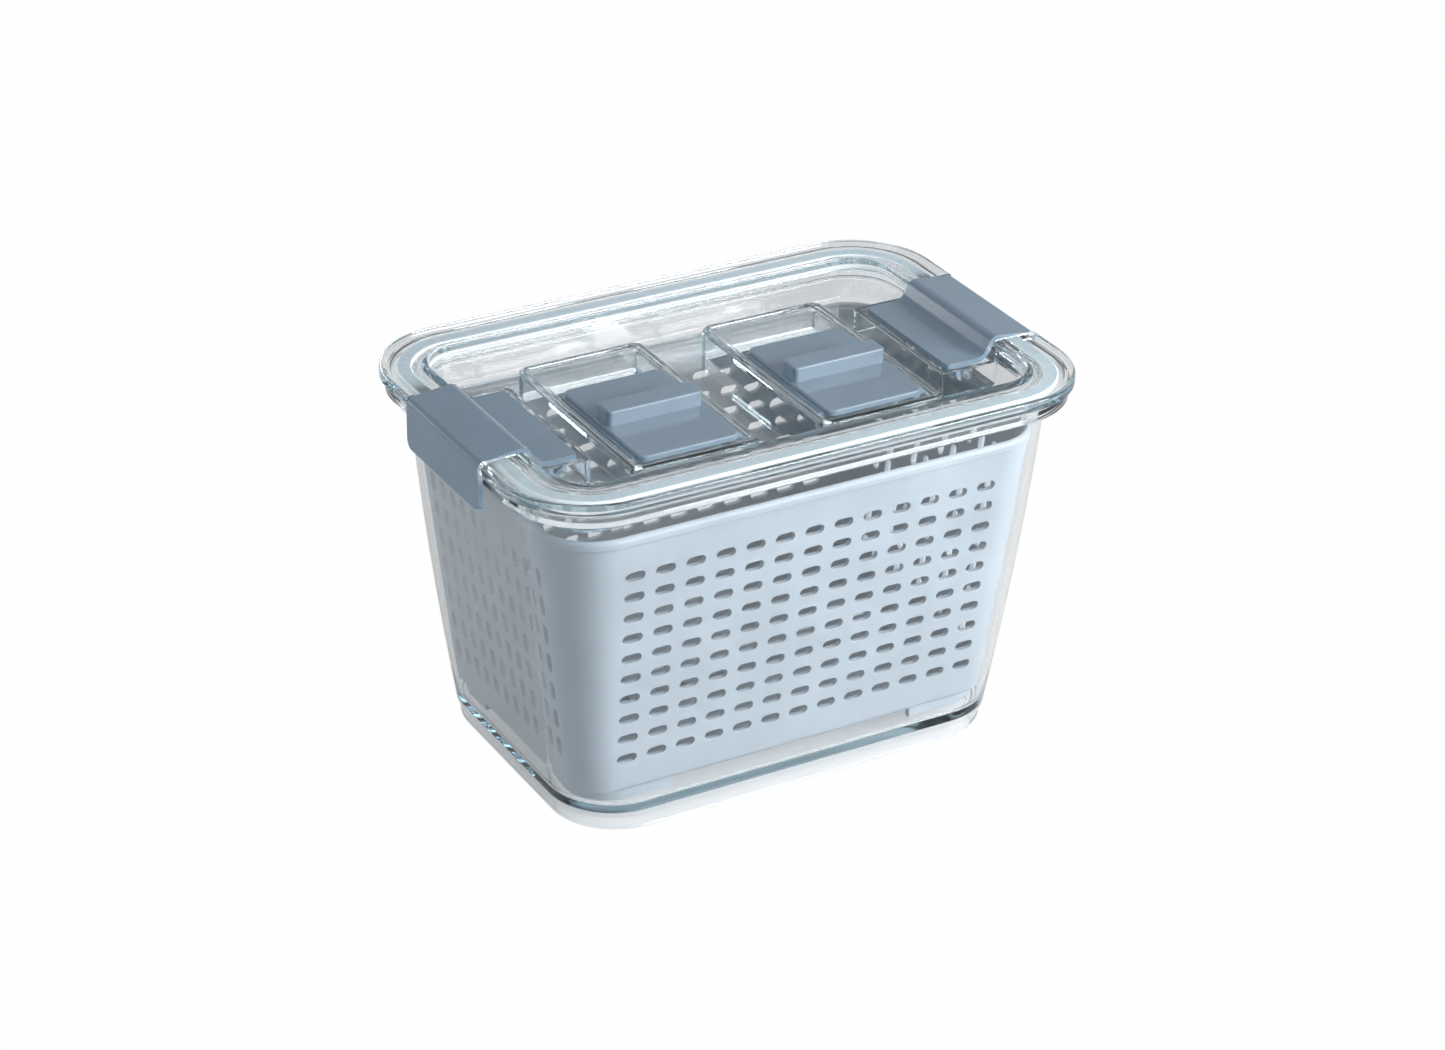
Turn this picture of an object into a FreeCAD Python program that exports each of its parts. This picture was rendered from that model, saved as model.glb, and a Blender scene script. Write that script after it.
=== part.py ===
import FreeCAD, Part
import math
import os

# A clear food storage box with a lift-out slotted basket and a vented lid.
# Millimetres. +X runs along the box, +Y to its back, +Z up. The origin is at the
# middle of the footprint, on the surface that the box stands on.

# Lid outline and heights
lid_half_x = 102.5
lid_half_y = 69.4
lid_corner = 29.4
lid_edge = 4.1
lid_top_z = 130.3

# Container
base_half_x = 80.3
base_half_y = 53.4
base_corner = 23.0
foot_height = 6.3
foot_ring = 3.0
foot_step = 0.9
floor_thickness = 3.0
wall = 2.3
wall_knee_z = 50.0
wall_knee_share = 0.48
rim_inset = 1.9
rim_upstand = 2.0
rim_upstand_height = 1.7
rim_land = 4.4
rim_thickness = 2.9

# Seal between the rim and the lid
seal_inset = 5.5
seal_width = 5.1
seal_height = 2.0

# Lid rib that fits into the container's mouth
rib_gap = 0.6
rib_thickness = 1.4
rib_depth = 5.0

# Recess in the lid
recess_inset = 16.1
recess_wall = 2.2
recess_depth = 15.1
panel_thickness = 2.2

# Vent frames, symmetrical about the middle of the lid
frame_middle_gap = 11.1
frame_pocket_gap = 7.3
frame_front_gap = 11.0
frame_back_gap = 14.0
frame_wall = 3.4
frame_height = 9.2
frame_corner = 4.0
frame_bevel = 0.7
deck_drop = 2.5
deck_thickness = 2.0
vent_length = 18.4
groove_depth = 1.4
groove_height = 1.4

# Sliding vent covers
slider_gap = 0.3
slider_front_gap = 2.1
slider_back_gap = 1.3
slider_thickness = 2.2
slider_lift = 0.7
slider_corner = 3.0
tongue_height = 1.0
tongue_reach = 1.1
tongue_width = 3.0
grip_side_gap = 3.3
grip_front = 22.8
grip_depth = 8.7
grip_height = 5.2
grip_corner = 3.0

# Flap latches
latch_half_y = 25.2
latch_sheet = 1.8
latch_overhang = 0.5
latch_edge_drop = 0.6
latch_slope_rise = 2.1
latch_slope_run = 17.2
latch_ramp_run = 3.5
latch_plate_run = 14.0
latch_plate_drop = 5.4
latch_skirt_drop = 17.5
latch_skirt_draft = 0.1
latch_crease_round = 3.0
latch_ramp_round = 4.0
latch_edge_round = 2.4
latch_corner = 3.0
latch_gap = 0.4
latch_bead = 0.3
latch_bead_height = 1.6
latch_bead_lift = 2.4

# Hinge bar moulded in the lid, and the latch's clips round it
bar_radius = 1.5
bar_fit = 0.08
bar_from_end = 6.9
bar_below_plate = 3.9
clip_wall = 1.6
clip_mouth = 2.3
lug_y = 8.5
lug_width = 2.4
lug_gap = 0.6

# Pocket round each hinge
pocket_gap = 2.1
pocket_wall = 1.6
pocket_side_gap = 1.8
pocket_height = 8.7

# Basket
basket_wall = 1.8
basket_foot = 3.4
basket_gap_x = 2.6
basket_gap_y = 4.2
basket_corner = 17.3
basket_rim_gap = 0.5
basket_headroom = 0.4
basket_rim_height = 3.4
basket_rim_lip = 1.4
basket_rim_bevel = 0.9
foot_inset = 1.2
foot_width = 2.2
foot_cut_x = 45.0
foot_cut_y = 22.0

# Slots in the basket
slot_length = 8.4
slot_height = 4.2
slot_low_margin = 13.4
slot_top_margin = 13.2
front_columns = 10
front_rows = 8
front_margin = 21.8
side_columns = 5
side_rows = 4
side_margin = 19.6
side_top_margin = 17.4
floor_columns = 3
floor_rows = 2
floor_slot_length = 30.0
floor_margin_x = 22.0
floor_margin_y = 17.0

# Heights worked out from the sizes above
lid_under_z = lid_top_z - lid_edge
rim_land_z = lid_under_z - seal_height
rim_under_z = rim_land_z - rim_thickness
rim_top_z = rim_land_z + rim_upstand_height
floor_z = foot_height + floor_thickness
panel_z = lid_top_z - recess_depth
panel_under_z = panel_z - panel_thickness
frame_top_z = panel_z + frame_height
deck_z = frame_top_z - deck_drop
deck_under_z = deck_z - deck_thickness
basket_floor_z = floor_z + basket_foot
basket_top_z = panel_under_z - basket_headroom
basket_rim_z = basket_top_z - basket_rim_height

# Latch places along X, measured on the right-hand side
latch_outer_x = lid_half_x + latch_overhang
latch_crease_x = latch_outer_x - latch_slope_run
latch_ramp_x = latch_crease_x - latch_ramp_run
latch_inner_x = latch_ramp_x - latch_plate_run
latch_edge_z = lid_top_z - latch_edge_drop
latch_crease_z = latch_edge_z + latch_slope_rise
latch_plate_z = lid_top_z - latch_plate_drop
latch_bottom_z = lid_top_z - latch_skirt_drop
bar_x = latch_inner_x + bar_from_end
bar_z = latch_plate_z - bar_below_plate

# Vent frame places along X, between the middle of the lid and the pocket of a hinge
pocket_face_x = latch_inner_x - pocket_gap
frame_out_x = pocket_face_x - pocket_wall - frame_pocket_gap
frame_half_x = (frame_out_x - frame_middle_gap) / 2
frame_centre_x = frame_out_x - frame_half_x


class Outline:
    """A rectangle with rounded corners, seen from above."""

    def __init__(self, half_x, half_y, radius):
        self.half_x = half_x
        self.half_y = half_y
        self.radius = radius

    def grown(self, distance):
        return Outline(self.half_x + distance, self.half_y + distance, self.radius + distance)

    def edges(self, z, centre_x=0.0, centre_y=0.0):
        """Straight sides and corner arcs in turn, anticlockwise from the front side."""
        middle = FreeCAD.Vector(centre_x, centre_y, z)
        flat_x = self.half_x - self.radius
        flat_y = self.half_y - self.radius
        corners = ((flat_x, -flat_y), (flat_x, flat_y), (-flat_x, flat_y), (-flat_x, -flat_y))
        arcs = []
        for turn, (corner_x, corner_y) in enumerate(corners):
            centre = middle + FreeCAD.Vector(corner_x, corner_y, 0)
            first = math.radians(90 * turn - 90)
            points = []
            for angle in (first, first + math.pi / 4, first + math.pi / 2):
                spoke = FreeCAD.Vector(math.cos(angle), math.sin(angle), 0)
                points.append(centre + spoke * self.radius)
            arcs.append(points)
        edges = []
        for turn, points in enumerate(arcs):
            edges.append(Part.makeLine(arcs[turn - 1][2], points[0]))
            edges.append(Part.Arc(*points).toShape())
        return edges

    def wire(self, z, centre_x=0.0, centre_y=0.0):
        return Part.Wire(self.edges(z, centre_x, centre_y))


def prism(outline, low_z, high_z, centre_x=0.0, centre_y=0.0):
    face = Part.Face(outline.wire(low_z, centre_x, centre_y))
    return face.extrude(FreeCAD.Vector(0, 0, high_z - low_z))


def ring(outer, inner, low_z, high_z):
    return prism(outer, low_z, high_z).cut(prism(inner, low_z, high_z))


def box(low, high):
    size = [top - bottom for bottom, top in zip(low, high)]
    return Part.makeBox(*size, FreeCAD.Vector(*low))


def leaning_block(low, low_z, high, high_z):
    """A block with four flat leaning sides and round edges between them, all of one radius."""
    block = Part.makeWedge(
        -low.half_x, low_z, -low.half_y, -high.half_y, -high.half_x,
        low.half_x, high_z, low.half_y, high.half_y, high.half_x,
    )
    block.rotate(FreeCAD.Vector(0, 0, 0), FreeCAD.Vector(1, 0, 0), 90)
    leaning = [edge for edge in block.Edges if edge.BoundBox.ZLength > 1]
    return block.makeFillet(low.radius, leaning)


def stacked_block(levels):
    """Leaning bands between outlines of one corner radius, from a list of (z, outline)."""
    low_z, low = levels[0]
    high_z, high = levels[-1]
    faces = [Part.Face(low.wire(low_z)), Part.Face(high.wire(high_z))]
    for (below_z, below), (above_z, above) in zip(levels, levels[1:]):
        for bottom, top in zip(below.edges(below_z), above.edges(above_z)):
            start, end = [corner.Point for corner in bottom.Vertexes]
            top_start, top_end = [corner.Point for corner in top.Vertexes]
            if isinstance(bottom.Curve, Part.Line):
                faces.append(Part.Face(Part.makePolygon([start, end, top_end, top_start, start])))
            else:
                faces.append(bottom.extrude(top_start - start))
    shell = Part.makeShell(faces)
    shell.sewShape()
    block = Part.makeSolid(shell)
    if block.Volume < 0:
        block.reverse()
    return block


def level_edges(shape, z):
    """The edges that lie flat at height z."""
    found = []
    for edge in shape.Edges:
        bounds = edge.BoundBox
        if abs(bounds.ZMin - z) < 0.01 and abs(bounds.ZMax - z) < 0.01:
            found.append(edge)
    return found


def rounded_profile(corners):
    """A closed wire in the XZ plane. Each corner is (x, z, radius); 0 keeps it sharp."""
    points = [FreeCAD.Vector(x, 0, z) for x, z, radius in corners]
    stops = []
    for index, (x, z, radius) in enumerate(corners):
        here = points[index]
        back = (points[index - 1] - here).normalize()
        ahead = (points[(index + 1) % len(points)] - here).normalize()
        if radius == 0:
            stops.append((here, None, here))
            continue
        half = back.getAngle(ahead) / 2
        reach = radius / math.tan(half)
        bisector = (back + ahead).normalize()
        centre = here + bisector * (radius / math.sin(half))
        stops.append((here + back * reach, centre - bisector * radius, here + ahead * reach))
    edges = []
    for index, (start, middle, end) in enumerate(stops):
        edges.append(Part.makeLine(stops[index - 1][2], start))
        if middle:
            edges.append(Part.Arc(start, middle, end).toShape())
    return Part.Wire(edges)


def across(wire, low_y, high_y):
    """A profile in the XZ plane drawn out along Y."""
    face = Part.Face(wire)
    face.translate(FreeCAD.Vector(0, low_y, 0))
    return face.extrude(FreeCAD.Vector(0, high_y - low_y, 0))


lid_outline = Outline(lid_half_x, lid_half_y, lid_corner)
base_outline = Outline(base_half_x, base_half_y, base_corner)
rim_outline = lid_outline.grown(-rim_inset)
mouth_outline = rim_outline.grown(-rim_upstand - rim_land)
mouth_outline.radius = base_corner
shoulder_outline = Outline(base_half_x + foot_step, base_half_y + foot_step, base_corner)


def wall_outline(z):
    """Outside of the container's wall at height z: it leans out more below its knee than above."""
    if z < wall_knee_z:
        share = wall_knee_share * (z - foot_height) / (wall_knee_z - foot_height)
    else:
        rise = (z - wall_knee_z) / (rim_under_z - wall_knee_z)
        share = wall_knee_share + (1 - wall_knee_share) * rise
    low = shoulder_outline
    high = mouth_outline
    return Outline(
        low.half_x + (high.half_x - low.half_x) * share,
        low.half_y + (high.half_y - low.half_y) * share,
        low.radius,
    )


def wall_block(low_z, high_z, inset):
    """The container's wall as a solid block between two heights, with its knee."""
    heights = (low_z, wall_knee_z, high_z)
    return stacked_block([(z, wall_outline(z).grown(-inset)) for z in heights])


def make_container():
    foot = prism(base_outline, 0, foot_height)
    rim = prism(rim_outline, rim_under_z, rim_top_z)
    body = foot.fuse([wall_block(foot_height - foot_step, rim_under_z, 0), rim])
    body = body.cut(prism(rim_outline.grown(-rim_upstand), rim_land_z, rim_top_z + 1))
    body = body.cut(wall_block(floor_z, rim_land_z, wall))
    body = body.cut(prism(base_outline.grown(-foot_ring), -1, foot_height))
    return body.removeSplitter()


def make_seal():
    outer = lid_outline.grown(-seal_inset)
    return ring(outer, outer.grown(-seal_width), rim_land_z, lid_under_z)


def basket_outline(z):
    """Outside of the basket's wall at height z, between flat leaning sides."""
    low = wall_outline(basket_floor_z).grown(-wall)
    high = wall_outline(basket_rim_z).grown(-wall - basket_rim_gap - basket_rim_lip)
    share = (z - basket_floor_z) / (basket_rim_z - basket_floor_z)
    low_x = low.half_x - basket_gap_x
    low_y = low.half_y - basket_gap_y
    return Outline(
        low_x + (high.half_x - low_x) * share,
        low_y + (high.half_y - low_y) * share,
        basket_corner,
    )


def spread(count, first, last):
    """Evenly spaced places from the first to the last."""
    return [first + (last - first) * index / (count - 1) for index in range(count)]


def front_slots():
    """Level slots that pass through the front and rear walls of the basket."""
    half_span = basket_outline(basket_floor_z).half_x - front_margin
    rows = spread(front_rows, basket_floor_z + slot_low_margin, basket_rim_z - slot_top_margin)
    reach = lid_half_y
    slots = []
    for x in spread(front_columns, -half_span, half_span):
        for z in rows:
            low = (x - slot_length / 2, -reach, z - slot_height / 2)
            high = (x + slot_length / 2, reach, z + slot_height / 2)
            slots.append(box(low, high))
    return Part.makeCompound(slots)


def side_slots():
    """Upright slots that pass through the two short walls of the basket."""
    half_span = basket_outline(basket_floor_z).half_y - side_margin
    lowest = basket_floor_z + slot_low_margin + slot_height / 2
    highest = basket_rim_z - side_top_margin
    reach = lid_half_x
    slots = []
    for y in spread(side_columns, -half_span, half_span):
        for z in spread(side_rows, lowest, highest):
            low = (-reach, y - slot_height / 2, z - slot_length / 2)
            high = (reach, y + slot_height / 2, z + slot_length / 2)
            slots.append(box(low, high))
    return Part.makeCompound(slots)


def floor_slots():
    half_x = basket_outline(basket_floor_z).half_x - floor_margin_x
    half_y = basket_outline(basket_floor_z).half_y - floor_margin_y
    slots = []
    for x in spread(floor_columns, -half_x, half_x):
        for y in spread(floor_rows, -half_y, half_y):
            low = (x - floor_slot_length / 2, y - slot_height / 2, floor_z)
            high = (x + floor_slot_length / 2, y + slot_height / 2, basket_rim_z)
            slots.append(box(low, high))
    return Part.makeCompound(slots)


def basket_feet():
    """A low ring under the floor, cut away between the corners."""
    outer = basket_outline(basket_floor_z).grown(-foot_inset)
    feet = ring(outer, outer.grown(-foot_width), floor_z, basket_floor_z + basket_wall / 2)
    long_cut = box((-foot_cut_x, -lid_half_y, 0), (foot_cut_x, lid_half_y, basket_top_z))
    short_cut = box((-lid_half_x, -foot_cut_y, 0), (lid_half_x, foot_cut_y, basket_top_z))
    return feet.cut(long_cut.fuse(short_cut))


def make_basket():
    low = basket_outline(basket_floor_z)
    high = basket_outline(basket_rim_z)
    inside_z = basket_floor_z + basket_wall
    inside = basket_outline(inside_z).grown(-basket_wall)
    mouth = basket_outline(basket_top_z).grown(-basket_wall)
    lip_outline = wall_outline(basket_rim_z).grown(-wall - basket_rim_gap)
    lip = prism(lip_outline, basket_rim_z, basket_top_z)
    lip = lip.makeChamfer(basket_rim_bevel, level_edges(lip, basket_top_z))
    walls = leaning_block(low, basket_floor_z, high, basket_rim_z).fuse(lip)
    walls = walls.cut(leaning_block(inside, inside_z, mouth, basket_top_z))
    walls = walls.cut(front_slots())
    walls = walls.cut(side_slots())
    walls = walls.cut(floor_slots())
    return walls.fuse(basket_feet()).removeSplitter()


recess_outline = lid_outline.grown(-recess_inset)


def lid_shell():
    """The flange with the tub that hangs from it, closed by the recessed panel."""
    flange = prism(lid_outline, lid_under_z, lid_top_z)
    tub = prism(recess_outline.grown(recess_wall), panel_under_z, lid_top_z)
    recess = prism(recess_outline, panel_z, lid_top_z + 1)
    return flange.fuse([tub, lid_rib()]).cut(recess)


def lid_rib():
    """The rib under the flange that centres the lid in the container's mouth."""
    outer = wall_outline(rim_under_z).grown(-wall - rib_gap)
    return ring(outer, outer.grown(-rib_thickness), lid_under_z - rib_depth, lid_under_z)


frame_front_y = frame_front_gap - recess_outline.half_y
frame_back_y = recess_outline.half_y - frame_back_gap
frame_middle_y = (frame_front_y + frame_back_y) / 2
frame_outline = Outline(frame_half_x, (frame_back_y - frame_front_y) / 2, frame_corner)
vent_outline = frame_outline.grown(-frame_wall)
vent_half_x = vent_outline.half_x
well_front_y = frame_front_y + frame_wall
well_back_y = frame_back_y - frame_wall
deck_back_y = well_back_y - vent_length


def vent_frame(centre_x):
    """A raised rim with a deck that the cover slides on, open behind the deck."""
    rim = prism(frame_outline, panel_under_z, frame_top_z, centre_x, frame_middle_y)
    return rim.makeChamfer(frame_bevel, level_edges(rim, frame_top_z))


def vent_well(centre_x):
    """What is open inside a vent frame: above the deck, under it, behind it and its grooves."""
    hollow = prism(vent_outline, panel_under_z - 1, frame_top_z + 1, centre_x, frame_middle_y)
    deck = box(
        (centre_x - frame_half_x, frame_front_y, deck_under_z),
        (centre_x + frame_half_x, deck_back_y, deck_z),
    )
    groove_half_x = vent_half_x + groove_depth
    groove = box(
        (centre_x - groove_half_x, well_front_y, deck_z),
        (centre_x + groove_half_x, well_back_y, deck_z + groove_height),
    )
    return hollow.cut(deck).fuse(groove)


def hinge_bar():
    """The round bar with the two lugs that hold it off the panel."""
    half_length = latch_half_y + pocket_side_gap
    start = FreeCAD.Vector(bar_x, -half_length, bar_z)
    bar = Part.makeCylinder(bar_radius, 2 * half_length, start, FreeCAD.Vector(0, 1, 0))
    lugs = []
    for y in (-lug_y, lug_y):
        low = (bar_x - bar_radius, y - lug_width / 2, panel_under_z)
        high = (bar_x + bar_radius, y + lug_width / 2, bar_z)
        lugs.append(box(low, high))
    return bar.fuse(lugs)


def pocket():
    """The low wall round three sides of a hinge."""
    face_y = latch_half_y + pocket_side_gap
    top_z = panel_z + pocket_height
    out_x = recess_outline.half_x + recess_wall / 2
    outer = box(
        (pocket_face_x - pocket_wall, -face_y - pocket_wall, panel_z - panel_thickness / 2),
        (out_x, face_y + pocket_wall, top_z),
    )
    outer = outer.makeFillet(pocket_wall * 1.5, inner_corner_edges(outer))
    inner = box((pocket_face_x, -face_y, panel_z), (out_x + 1, face_y, top_z + 1))
    return outer.cut(inner)


def inner_corner_edges(block):
    """The two upright edges of a block that are nearest to the middle of the lid."""
    found = []
    for edge in block.Edges:
        bounds = edge.BoundBox
        if bounds.ZLength > 1 and bounds.XMax < block.BoundBox.XMin + 0.01 and bounds.YLength < 0.01:
            found.append(edge)
    return found


def latch_top_line():
    """Corners of the latch's upper side in the XZ plane, from its inner end to the skirt's hem."""
    return [
        (latch_inner_x, latch_plate_z),
        (latch_ramp_x, latch_plate_z),
        (latch_crease_x, latch_crease_z),
        (latch_outer_x, latch_edge_z),
        (latch_outer_x - latch_skirt_draft, latch_bottom_z),
    ]


def line_below(line, distance):
    """The bends of a line in the XZ plane, moved over to its underside."""
    moved = []
    for before, corner, after in zip(line, line[1:], line[2:]):
        here = FreeCAD.Vector(corner[0], 0, corner[1])
        arriving = (here - FreeCAD.Vector(before[0], 0, before[1])).normalize()
        leaving = (FreeCAD.Vector(after[0], 0, after[1]) - here).normalize()
        normals = [FreeCAD.Vector(way.z, 0, -way.x) for way in (arriving, leaving)]
        both = normals[0] + normals[1]
        here = here + both * (distance / (1 + normals[0].dot(normals[1])))
        moved.append((here.x, here.z))
    return moved


def latch_bay():
    """What the lid's flange leaves free for a latch to lie in."""
    plate, crease, edge = line_below(latch_top_line(), latch_sheet + latch_gap)
    lip_x = edge[0] - 2 * latch_gap
    inner_x = latch_ramp_x - latch_ramp_run
    out_x = latch_outer_x + latch_gap
    under_z = lid_under_z - latch_gap
    high_z = latch_crease_z + latch_sheet
    half_y = latch_half_y + latch_gap
    corners = [(inner_x, plate[1]), plate, crease, (lip_x, edge[1])]
    corners += [(lip_x, under_z), (out_x, under_z), (out_x, high_z), (inner_x, high_z)]
    return across(rounded_profile([(x, z, 0) for x, z in corners]), -half_y, half_y)


def mirrored(shape):
    """The left-hand copy of a right-hand shape."""
    return shape.mirror(FreeCAD.Vector(0, 0, 0), FreeCAD.Vector(1, 0, 0))


def make_lid():
    lid = lid_shell()
    lid = lid.fuse([vent_frame(-frame_centre_x), vent_frame(frame_centre_x)])
    lid = lid.cut([vent_well(-frame_centre_x), vent_well(frame_centre_x)])
    pocket_right = pocket()
    lid = lid.fuse([pocket_right, mirrored(pocket_right)])
    lid = lid.cut([latch_bay(), mirrored(latch_bay())])
    bar_right = hinge_bar()
    lid = lid.fuse([bar_right, mirrored(bar_right)])
    return lid.removeSplitter()


def latch_clips():
    """Two open rings under the plate that snap round the hinge bar, outside the lugs."""
    outer_radius = bar_radius + bar_fit + clip_wall
    near = lug_y + lug_width / 2 + lug_gap
    far = latch_half_y - lug_gap
    clips = []
    for low_y, high_y in ((-far, -near), (near, far)):
        start = FreeCAD.Vector(bar_x, low_y, bar_z)
        clip = Part.makeCylinder(outer_radius, high_y - low_y, start, FreeCAD.Vector(0, 1, 0))
        neck = box(
            (bar_x - outer_radius, low_y, bar_z),
            (bar_x + outer_radius, high_y, latch_plate_z - latch_sheet / 2),
        )
        clips.append(clip.fuse(neck))
    return clips


def latch_hollow():
    """The bore of the clips with its mouth below."""
    start = FreeCAD.Vector(bar_x, -latch_half_y, bar_z)
    bore = Part.makeCylinder(
        bar_radius + bar_fit, 2 * latch_half_y, start, FreeCAD.Vector(0, 1, 0)
    )
    mouth = box(
        (bar_x - clip_mouth / 2, -latch_half_y, bar_z - bar_radius - bar_fit - 2 * clip_wall),
        (bar_x + clip_mouth / 2, latch_half_y, bar_z),
    )
    return bore.fuse(mouth)


def make_latch():
    """The right-hand flap: plate, ramp, sloping top and the skirt that folds over the rim."""
    top = latch_top_line()
    plate, crease, edge = line_below(top, latch_sheet)
    hem_x = top[-1][0] - latch_sheet
    bead_z = latch_bottom_z + latch_bead_lift
    inner_x = hem_x + latch_skirt_draft * latch_bead_lift / (edge[1] - latch_bottom_z)
    corners = [
        (*top[0], latch_sheet * 0.3),
        (*top[1], latch_ramp_round),
        (*top[2], latch_crease_round),
        (*top[3], latch_edge_round),
        (*top[4], 0),
        (hem_x, latch_bottom_z, 0),
        (inner_x, bead_z - latch_bead_height / 2, 0),
        (inner_x - latch_bead, bead_z, 0),
        (inner_x, bead_z + latch_bead_height / 2, 0),
        (*edge, latch_edge_round - latch_sheet),
        (*crease, latch_crease_round - latch_sheet),
        (*plate, latch_ramp_round + latch_sheet),
        (latch_inner_x, plate[1], latch_sheet * 0.6),
    ]
    flap = across(rounded_profile(corners), -latch_half_y, latch_half_y)
    flap = flap.common(flap_envelope())
    return flap.fuse(latch_clips()).cut(latch_hollow()).removeSplitter()


def flap_envelope():
    """A block that rounds the corners of the flap: two at the plate's end, two on the skirt."""
    block = box(
        (latch_inner_x, -latch_half_y, latch_bottom_z),
        (latch_outer_x + 1, latch_half_y, latch_crease_z + 1),
    )
    corner_edges = []
    for edge in block.Edges:
        bounds = edge.BoundBox
        across_sheet = bounds.YLength < 0.01 and bounds.ZLength < 0.01
        if across_sheet and bounds.ZMin < latch_bottom_z + 0.01:
            corner_edges.append(edge)
        upright = bounds.XLength < 0.01 and bounds.YLength < 0.01
        if upright and bounds.XMax < latch_inner_x + 0.01:
            corner_edges.append(edge)
    return block.makeFillet(latch_corner, corner_edges)


def make_slider(centre_x):
    """The vent cover: a plate with a grip block on top and a runner with a tongue on each side."""
    half_x = vent_half_x - slider_gap
    front_y = well_front_y + slider_front_gap
    back_y = deck_back_y - slider_back_gap
    low_z = deck_z + slider_lift + slider_gap
    high_z = low_z + slider_thickness
    plate = prism(
        Outline(half_x, (back_y - front_y) / 2, slider_corner),
        low_z, high_z, centre_x, (front_y + back_y) / 2,
    )
    grip_middle_y = front_y + grip_front + grip_depth / 2
    grip = prism(
        Outline(vent_half_x - grip_side_gap, grip_depth / 2, grip_corner),
        low_z + slider_thickness / 2, high_z + grip_height, centre_x, grip_middle_y,
    )
    runners = []
    for side in (-1, 1):
        inner_x = centre_x + side * (half_x - tongue_width)
        outer_x = centre_x + side * half_x
        tip_x = centre_x + side * (half_x + tongue_reach)
        runners.append(box(
            (min(inner_x, outer_x), front_y + slider_corner, deck_z + slider_gap / 3),
            (max(inner_x, outer_x), back_y - slider_corner, (low_z + high_z) / 2),
        ))
        runners.append(box(
            (min(inner_x, tip_x), front_y + slider_corner, deck_z + slider_gap / 3),
            (max(inner_x, tip_x), back_y - slider_corner, deck_z + slider_gap / 3 + tongue_height),
        ))
    return plate.fuse([grip] + runners).removeSplitter()


def save(shape, name):
    shape.exportStep(os.path.join("parts", name + ".step"))


os.makedirs("parts", exist_ok=True)
latch = make_latch()
save(make_container(), "container")
save(make_basket(), "basket")
save(make_lid(), "lid")
save(make_seal(), "lid_seal")
save(mirrored(latch), "latch_left")
save(latch, "latch_right")
save(make_slider(-frame_centre_x), "slider_left")
save(make_slider(frame_centre_x), "slider_right")
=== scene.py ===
import bmesh
import bpy
import math
from mathutils import Matrix, Vector


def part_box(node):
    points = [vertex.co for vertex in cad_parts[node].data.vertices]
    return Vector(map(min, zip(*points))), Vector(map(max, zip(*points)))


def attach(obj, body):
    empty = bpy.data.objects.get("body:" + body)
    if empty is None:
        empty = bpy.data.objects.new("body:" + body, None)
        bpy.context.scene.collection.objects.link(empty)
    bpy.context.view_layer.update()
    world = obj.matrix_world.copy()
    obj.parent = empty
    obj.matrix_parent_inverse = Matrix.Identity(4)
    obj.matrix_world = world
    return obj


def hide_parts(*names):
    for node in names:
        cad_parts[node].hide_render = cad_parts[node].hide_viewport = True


# A clear food storage box with a slotted basket, sliding vent covers and flap latches.
# Metres. +X along the box, +Y to its back, +Z up, as in the frame.
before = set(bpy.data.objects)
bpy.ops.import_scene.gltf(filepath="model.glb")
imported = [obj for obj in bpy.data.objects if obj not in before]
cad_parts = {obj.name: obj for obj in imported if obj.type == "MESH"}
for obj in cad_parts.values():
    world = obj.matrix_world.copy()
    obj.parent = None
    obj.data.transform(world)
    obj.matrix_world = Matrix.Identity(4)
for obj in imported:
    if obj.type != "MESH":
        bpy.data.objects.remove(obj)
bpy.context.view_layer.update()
mm = 0.001

# Sizes taken from the frame
lid_low, lid_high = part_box("lid")
body_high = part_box("container")[1]
seal_low, seal_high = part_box("lid_seal")
basket_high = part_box("basket")[1]
lid_half_x = lid_high.x
lid_half_y = lid_high.y
lid_top = lid_high.z
rim_half_x = body_high.x
rim_top = body_high.z
lid_under = seal_high.z
rim_land = seal_low.z
panel_under = lid_low.z

# Container
base_half_x = 80.3 * mm
base_half_y = 53.4 * mm
base_corner = 23.0 * mm
foot_ring = 3.0 * mm
foot_height = 6.3 * mm
foot_step = 0.9 * mm
floor_top = 9.3 * mm
floor_rounding = 3.0 * mm
wall = 2.3 * mm
wall_bands = 8
wall_bow = 0.35
rim_thickness = 2.9 * mm
rim_upstand = 2.0 * mm
rim_land_width = 4.4 * mm
rim_edge = 0.7 * mm

# Lid
lid_corner = 29.4 * mm
rib_gap = 0.6 * mm
rib_thickness = 1.4 * mm
rib_depth = 5.0 * mm
rib_edge = 0.4 * mm
recess_draft = 0.6 * mm
recess_inset = 16.1 * mm
recess_wall = 2.2 * mm
panel_thickness = 2.2 * mm
panel_top = panel_under + panel_thickness
seal_width = 5.1 * mm
seal_edge = 0.5 * mm
frame_half_x = 23.1 * mm
frame_centre_x = 34.2 * mm
frame_front_y = -42.3 * mm
frame_back_y = 39.3 * mm
frame_wall = 3.4 * mm
frame_corner = 4.0 * mm
frame_edge = 1.4 * mm
well_edge = 1.2 * mm
vent_half_x = frame_half_x - frame_wall
well_front_y = frame_front_y + frame_wall
well_back_y = frame_back_y - frame_wall
frame_top = panel_top + 9.2 * mm
deck_top = frame_top - 2.5 * mm
deck_under = deck_top - 2.0 * mm
vent_length = 18.4 * mm
deck_back_y = well_back_y - vent_length
groove_depth = 1.4 * mm
groove_height = 1.4 * mm

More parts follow.
